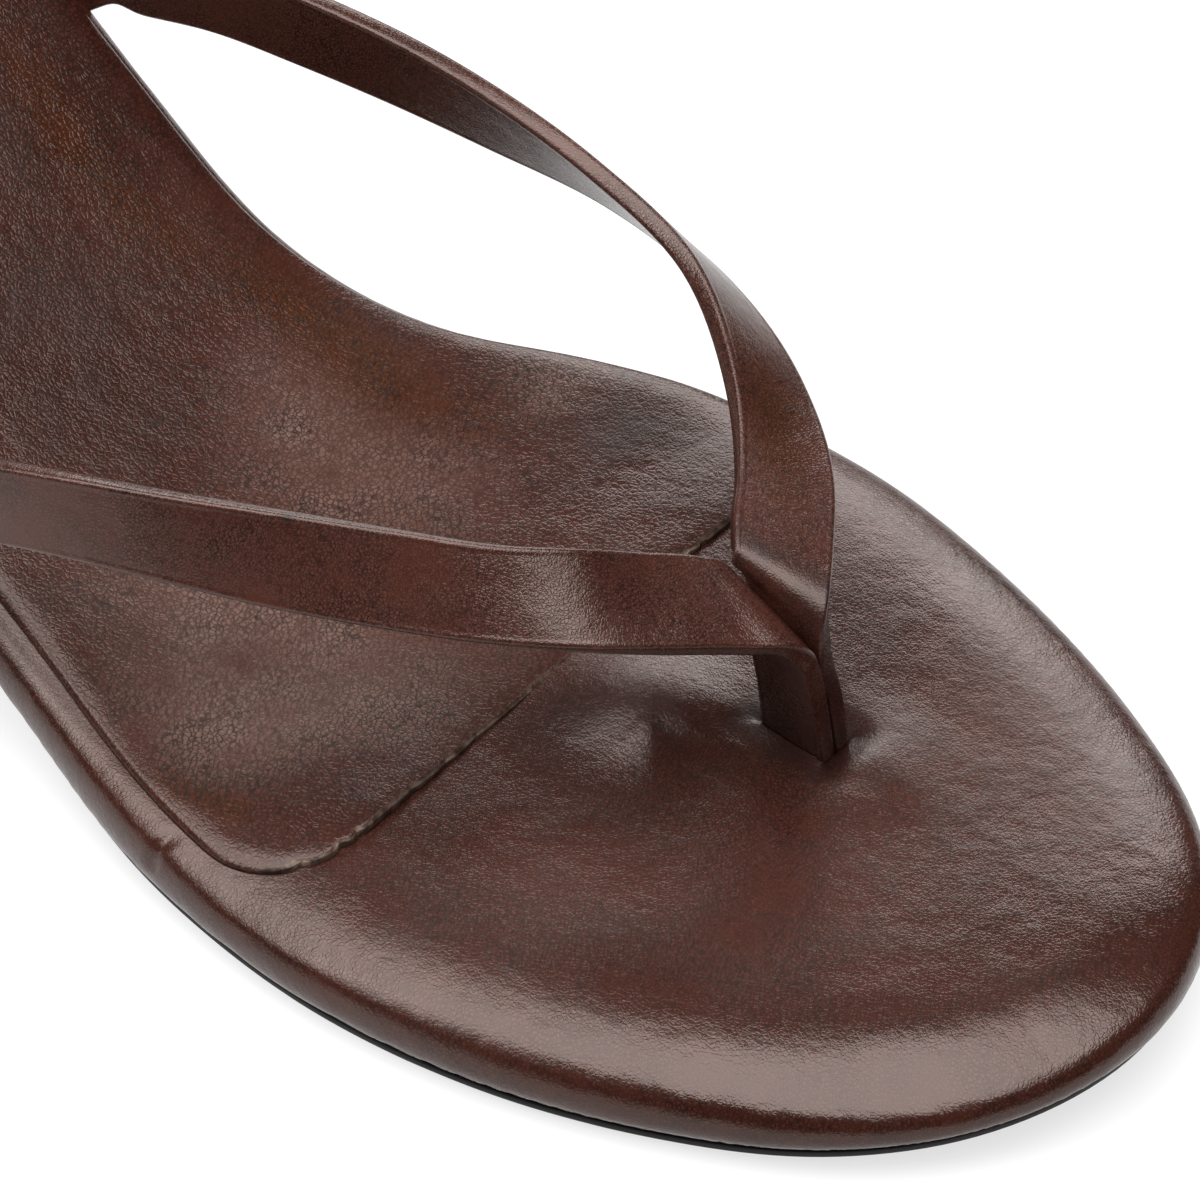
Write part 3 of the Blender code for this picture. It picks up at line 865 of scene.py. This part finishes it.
def rubber(name, finish):
    """Near-black rubber with a fine matt grain."""
    material, tree, shader = new_material(name)
    place = add_node(tree, "ShaderNodeTexCoord").outputs["Object"]
    grain = add_node(tree, "ShaderNodeTexNoise", Vector=place, Scale=1600.0, Detail=3.0)
    dust = add_node(tree, "ShaderNodeTexNoise", Vector=place, Scale=60.0, Detail=5.0)
    lighter = [c * 2.2 for c in finish.rubber]
    colour = mix_colour(
        tree, spread(tree, dust.outputs[0], 0.4, 0.7, 0.0, 1.0), opaque(finish.rubber), opaque(lighter)
    )
    tree.links.new(colour, shader.inputs["Base Color"])
    tree.links.new(spread(tree, dust.outputs[0], 0.3, 0.7, 0.45, 0.62), shader.inputs["Roughness"])
    bump = add_node(tree, "ShaderNodeBump", Height=grain.outputs[0], Strength=0.25)
    bump.inputs["Distance"].default_value = 0.05 * MM
    tree.links.new(bump.outputs[0], shader.inputs["Normal"])
    shader.inputs["Specular IOR Level"].default_value = 0.15
    return material


class MULE_OT_footbed(bpy.types.Operator):
    """Padded leather cover of the footbed, drawn in round the post, with its crease"""

    bl_idname = "mule.footbed"
    bl_label = "Footbed cover"

    def execute(self, context):
        shape = context.scene.mule_shape
        piece = copy_of_node("footbed", "footbed_cover")
        subdivide(piece, 2)
        apply_modifier(piece, "REMESH", mode="VOXEL", voxel_size=shape.cover_mesh)
        apply_modifier(piece, "SMOOTH", factor=0.5, iterations=3)
        shape_rim(piece, shape.toe_drop, shape.shoulder_fill)
        swell(piece, FOOTBED_DENTS)
        groove(piece, FOOTBED_CREASES, CREASE_LOWEST)
        hug_post(piece, shape.strap_thickness)
        places = points_of(piece)[0]
        away = from_post(places, shape.strap_thickness)[0]
        # Painted shade: the hollow on the inner side of the post, and a painted contact shadow all round the
        # post's foot
        tone = patches(places, FOOTBED_SHADE) - POST_SHADOW_TONE * near(away, POST_SHADOW_REACH)
        paint(piece, "tone", np.clip(tone, -1.0, 1.0))
        material = leather("footbed_leather", context.scene.mule_finish, size=0.85, depth=0.2)
        settle(piece, "footbed", material)
        return {"FINISHED"}


class MULE_OT_sock(bpy.types.Operator):
    """Half sock of thin lining leather with a raw cut edge"""

    bl_idname = "mule.sock"
    bl_label = "Sock liner"

    def execute(self, context):
        shape = context.scene.mule_shape
        piece = copy_of_node("sock_liner", "sock_lining")
        crease_sharp_edges(piece, angle=35, crease=0.7)
        subdivide(piece, 2)
        refine_front(piece, SOCK_FINE_X)
        places, normals = points_of(piece)
        away = rim_distance(places, normals)
        x, y = places[:, 0] / MM, places[:, 1] / MM
        front = np.clip((x - SOCK_FRONT_X) / SOCK_FRONT_FADE, 0.0, 1.0)
        outer = np.clip((-y - OUTER_EDGE_Y) / OUTER_EDGE_FADE, 0.0, 1.0)
        bite = sum(nick.bite * near((y - nick.y) * MM, nick.wide) for nick in SOCK_NICKS)
        rust = patches(places, SOCK_RUST)
        # Painted sheen and shade from the table, and a painted shadow line along the cut front edge
        tone = patches(places, SOCK_SHEEN_AND_SHADE) - 2.0 * front * near(away, SHADOW_LINE_REACH)
        raw = front * near(away, FIBRE_REACH) * np.clip(0.25 + bite * 1.8, 0.0, 1.0)
        shift = outer * near(away, OUTER_EDGE_REACH)
        places += shift[:, None] * np.array(OUTER_EDGE_SHIFT) * MM
        places[:, 0] -= bite * MM * front * near(away, FRAY_REACH)
        places[:, 2] -= shape.sock_press * (1.0 + 0.2 * near(away, PRESS_REACH))
        move_points(piece, places)
        paint(piece, "rust", np.clip(rust, 0.0, 1.0))
        paint(piece, "tone", np.clip(tone, -1.0, 1.0))
        paint(piece, "raw", raw)
        finish = context.scene.mule_finish
        material = leather("sock_leather", finish, size=1.1, depth=0.22, gloss=0.38, raw=True)
        settle(piece, "sock_liner", material)
        return {"FINISHED"}


class MULE_OT_straps(bpy.types.Operator):
    """Two straps that fold over the toe post, back to back, with beaded edges"""

    bl_idname = "mule.straps"
    bl_label = "Straps and toe post"

    def execute(self, context):
        shape = context.scene.mule_shape
        inner = strap_piece("strap_inner", post_rows(1) + INNER_STRAP, shape.strap_thickness, INNER_ROWS)
        outer = strap_piece("strap_outer", post_rows(-1) + OUTER_STRAP, shape.strap_thickness, OUTER_ROWS)
        only(inner)
        outer.select_set(True)
        bpy.ops.object.join()
        piece = inner
        piece.name = "straps"
        piece.data.name = "straps"
        edit_all(piece)
        bpy.ops.mesh.normals_make_consistent(inside=False)
        bpy.ops.object.mode_set(mode="OBJECT")
        subdivide(piece, 1)
        places = points_of(piece)[0]
        paint(piece, "rust", np.clip(patches(places, STRAP_RUST), 0.0, 1.0))
        # Painted shade at the seam and the post, the dark pinhole, and a slight even lift of the whole strap
        paint(piece, "tone", np.clip(0.1 + patches(places, STRAP_SHADE_AND_PINHOLE), -1.0, 1.0))
        material = leather("strap_leather", context.scene.mule_finish, size=0.7, depth=0.3, lighter=1.3)
        settle(piece, "upper", material)
        return {"FINISHED"}


class MULE_OT_heel(bpy.types.Operator):
    """Leather-covered heel and its rubber lift"""

    bl_idname = "mule.heel"
    bl_label = "Heel and lift"

    def execute(self, context):
        finish = context.scene.mule_finish
        heel = copy_of_node("heel", "heel_cover")
        crease_sharp_edges(heel, angle=40, crease=0.8)
        subdivide(heel, 2)
        settle(heel, "heel", leather("heel_leather", finish))
        lift = copy_of_node("heel_lift", "heel_tip")
        crease_sharp_edges(lift, angle=40, crease=0.9)
        subdivide(lift, 2)
        settle(lift, "heel_lift", rubber("lift_rubber", finish))
        return {"FINISHED"}


class MULE_OT_outsole(bpy.types.Operator):
    """Thin rubber outsole"""

    bl_idname = "mule.outsole"
    bl_label = "Outsole"

    def execute(self, context):
        piece = copy_of_node("outsole", "outsole_rubber")
        crease_sharp_edges(piece, angle=50, crease=0.6)
        subdivide(piece, 2)
        settle(piece, "outsole", rubber("outsole_rubber", context.scene.mule_finish))
        return {"FINISHED"}


class MULE_OT_stage(bpy.types.Operator):
    """Pale floor, soft lamps and the camera"""

    bl_idname = "mule.stage"
    bl_label = "Floor, lamps and camera"

    def execute(self, context):
        stage = context.scene.mule_stage
        self.add_floor(stage)
        self.add_lamps(context, stage)
        self.add_camera(context, stage)
        context.scene.view_settings.view_transform = "Standard"
        return {"FINISHED"}

    def add_floor(self, stage):
        bpy.ops.object.select_all(action="DESELECT")
        bpy.ops.mesh.primitive_grid_add(x_subdivisions=8, y_subdivisions=8, size=6.0)
        floor = bpy.context.object
        floor.name = "floor"
        material = new_material("floor_white")[0]
        shader = material.node_tree.nodes["Principled BSDF"]
        shader.inputs["Base Color"].default_value = (0.25, 0.25, 0.25, 1.0)
        shader.inputs["Roughness"].default_value = 0.9
        shader.inputs["Emission Color"].default_value = (1.0, 1.0, 1.0, 1.0)
        shader.inputs["Emission Strength"].default_value = stage.floor_glow
        floor.data.materials.append(material)

    def add_lamps(self, context, stage):
        world = bpy.data.worlds.new("room")
        world.use_nodes = True
        background = world.node_tree.nodes["Background"]
        background.inputs["Color"].default_value = (1.0, 1.0, 1.0, 1.0)
        background.inputs["Strength"].default_value = stage.room_light
        context.scene.world = world
        aim = Vector(stage.aim)
        lamps = (
            Lamp("softbox", (0.0, -0.12, 1.0), 1.1, (1.5, 0.95), 22, stage.softbox_power),
            Lamp("far_panel", (-0.47, 0.76, 0.45), 1.2, (0.7, 0.5), 0, stage.far_panel_power),
            Lamp("side_panel", (-0.4, -0.6, 0.7), 1.2, (0.5, 0.5), 0, stage.side_panel_power),
        )
        for row in lamps:
            place = aim + Vector(row.direction).normalized() * row.distance
            bpy.ops.object.light_add(type="AREA", location=place)
            lamp = bpy.context.object
            lamp.name = row.name
            lamp.data.shape = "RECTANGLE"
            lamp.data.size, lamp.data.size_y = row.size
            lamp.data.energy = row.power
            facing = (aim - place).to_track_quat("-Z", "Y")
            turn = Quaternion((0.0, 0.0, 1.0), math.radians(row.turn))
            lamp.rotation_euler = (facing @ turn).to_euler()
            lamp.visible_camera = False

    def add_camera(self, context, stage):
        flat = math.cos(stage.elevation)
        back = Vector(
            (
                math.sin(stage.azimuth) * flat,
                -math.cos(stage.azimuth) * flat,
                math.sin(stage.elevation),
            )
        )
        right = Vector((math.cos(stage.azimuth), math.sin(stage.azimuth), 0.0))
        bpy.ops.object.camera_add()
        camera = bpy.context.object
        turn = Matrix((right, back.cross(right), back)).transposed().to_4x4()
        turn.translation = Vector(stage.aim) + back * stage.distance
        camera.matrix_world = turn
        camera.data.sensor_width = 36.0
        camera.data.lens = camera.data.sensor_width * stage.distance / stage.view_width
        camera.data.clip_start = 0.01
        context.scene.camera = camera


class MULE_PT_panel(bpy.types.Panel):
    """Lists the pieces of the mule"""

    bl_idname = "MULE_PT_panel"
    bl_label = "Heeled thong mule"
    bl_space_type = "VIEW_3D"
    bl_region_type = "UI"
    bl_category = "Mule"

    def draw(self, context):
        for group in (context.scene.mule_shape, context.scene.mule_finish, context.scene.mule_stage):
            box = self.layout.box()
            for key in group.__annotations__:
                box.prop(group, key)
        for operator in PIECES:
            self.layout.operator(operator.bl_idname)


GROUPS = {"mule_shape": MuleShape, "mule_finish": MuleFinish, "mule_stage": MuleStage}
PIECES = (
    MULE_OT_footbed,
    MULE_OT_sock,
    MULE_OT_straps,
    MULE_OT_heel,
    MULE_OT_outsole,
    MULE_OT_stage,
)


def register():
    for name, group in GROUPS.items():
        bpy.utils.register_class(group)
        setattr(bpy.types.Scene, name, PointerProperty(type=group))
    for operator in PIECES:
        bpy.utils.register_class(operator)
    bpy.utils.register_class(MULE_PT_panel)


def unregister():
    bpy.utils.unregister_class(MULE_PT_panel)
    for operator in reversed(PIECES):
        bpy.utils.unregister_class(operator)
    for name, group in GROUPS.items():
        delattr(bpy.types.Scene, name)
        bpy.utils.unregister_class(group)


def main():
    register()
    bpy.ops.mule.footbed()
    bpy.ops.mule.sock()
    bpy.ops.mule.straps()
    bpy.ops.mule.heel()
    bpy.ops.mule.outsole()
    bpy.ops.mule.stage()


if __name__ == "__main__":
    main()
